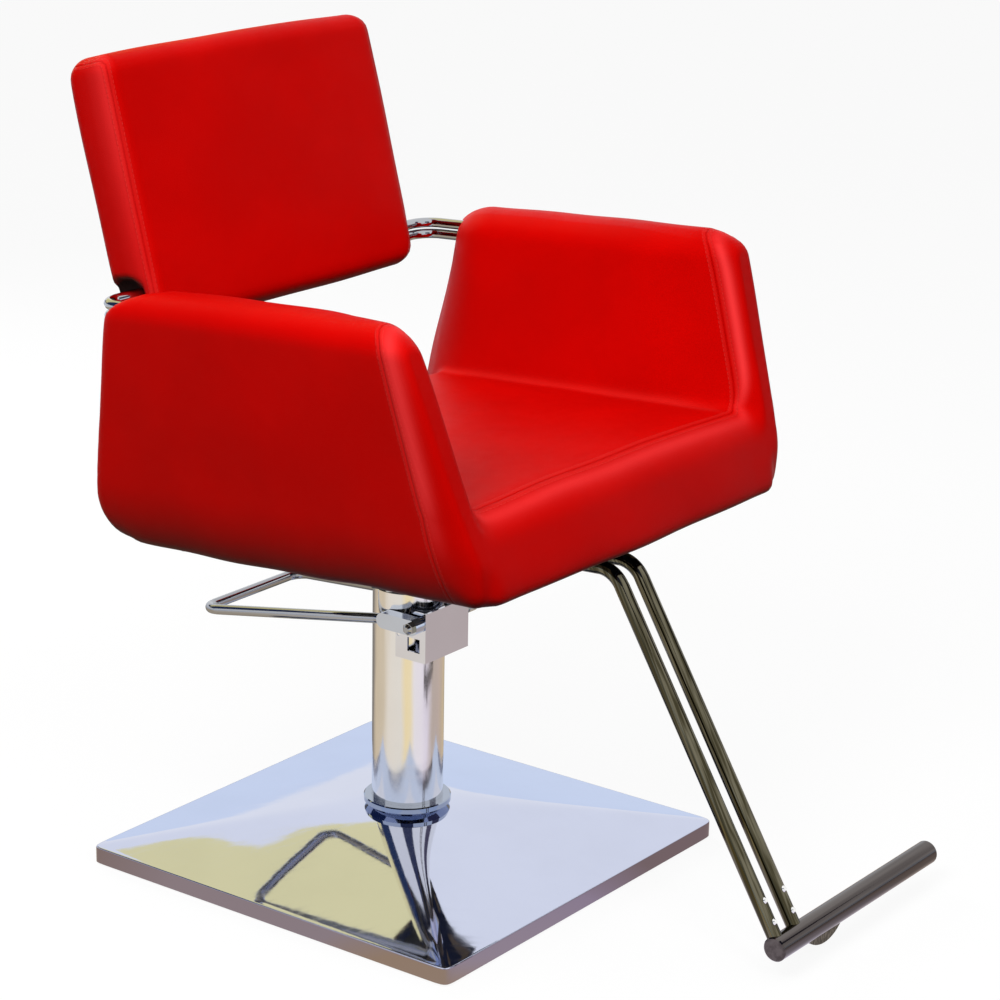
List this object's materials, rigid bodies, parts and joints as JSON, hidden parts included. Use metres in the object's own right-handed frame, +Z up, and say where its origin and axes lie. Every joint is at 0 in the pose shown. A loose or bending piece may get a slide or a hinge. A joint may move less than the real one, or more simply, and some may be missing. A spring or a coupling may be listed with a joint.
{
  "type": "hairdressing chair",
  "caption": "Hairdressing chair with a square chrome pillow base, hydraulic column with foot lever, flared red tub, backrest on chrome rods and offset chrome footrest.",
  "frame": {"origin": "centre of the base on the floor, on the column's axis", "axes": "+Z is up and -Y is the way the chair faces, so +X is the sitter's left"},
  "size_m": [0.6932, 0.914, 1.0079],
  "materials": {
    "pad_rubber": "matt black rubber",
    "cover_chrome": "polished chrome sheet",
    "column_chrome": "polished chrome",
    "rod_chrome": "polished chrome rod",
    "tube_chrome": "polished chrome tube",
    "dark_chrome": "polished steel in shade",
    "steel": "plain turned steel",
    "black_paint": "satin black paint",
    "plywood": "raw plywood",
    "red_leather": "smooth semi-gloss red leathercloth"
  },
  "bodies": {
    "base": {"floor_pads": "pad_rubber", "base_plate": "steel", "base_cover": "cover_chrome", "pump_flange": "steel", "flange_bolts": "steel", "collar_ring": "column_chrome", "pump_casing": "column_chrome", "pump_cylinder": "steel", "gland_cap": "column_chrome", "pump_barrel": "steel", "pump_head": "column_chrome"},
    "lever": {"rocker_shaft": "dark_chrome", "lever_yoke": "dark_chrome", "pump_lever": "rod_chrome", "shaft_nuts": "rod_chrome"},
    "plunger": {"pump_plunger": "steel"},
    "lift": {"piston_rod": "column_chrome", "piston": "steel", "piston_ring": "pad_rubber"},
    "seat": {"thrust_washer": "steel", "swivel_hub": "black_paint", "seat_plate": "black_paint", "plate_bolts": "steel", "cross_bars": "black_paint", "bar_screws": "steel", "seat_board": "plywood", "seat_cushion": "red_leather", "right_arm_panel": "plywood", "left_arm_panel": "plywood", "right_arm_pad": "red_leather", "left_arm_pad": "red_leather", "right_rod_socket": "steel", "left_rod_socket": "steel", "right_back_rods": "rod_chrome", "left_back_rods": "rod_chrome", "back_rail": "steel", "backrest_board": "plywood", "back_screws": "steel", "backrest_pad": "red_leather", "footrest_clamp": "black_paint", "clamp_bolts": "steel", "right_footrest_tube": "tube_chrome", "left_footrest_tube": "tube_chrome", "footrest_bar": "tube_chrome", "footrest_caps": "tube_chrome", "footrest_gusset": "tube_chrome", "footrest_rivets": "tube_chrome"}
  },
  "joints": [
    {"name": "seat_lift", "type": "slide", "parent": "base", "child": "lift", "axis": [0, 0, 1], "range_m": [0, 0.14]},
    {"name": "seat_swivel", "type": "hinge", "parent": "lift", "child": "seat", "pos_m": [0, 0, 0.4], "axis": [0, 0, 1], "continuous": true},
    {"name": "lever_pivot", "type": "hinge", "parent": "base", "child": "lever", "pos_m": [0, -0.051, 0.326], "axis": [-1, 0, 0], "range_deg": [0, 20], "stiffness_Nm_per_rad": 12, "springref_deg": -22.92},
    {"name": "plunger_slide", "type": "slide", "parent": "base", "child": "plunger", "axis": [0, 0, -1], "range_m": [0, 0.0065]}
  ],
  "couplings": [
    {"joint": "plunger_slide", "follows": "lever_pivot", "m_per_rad": 0.0175}
  ]
}
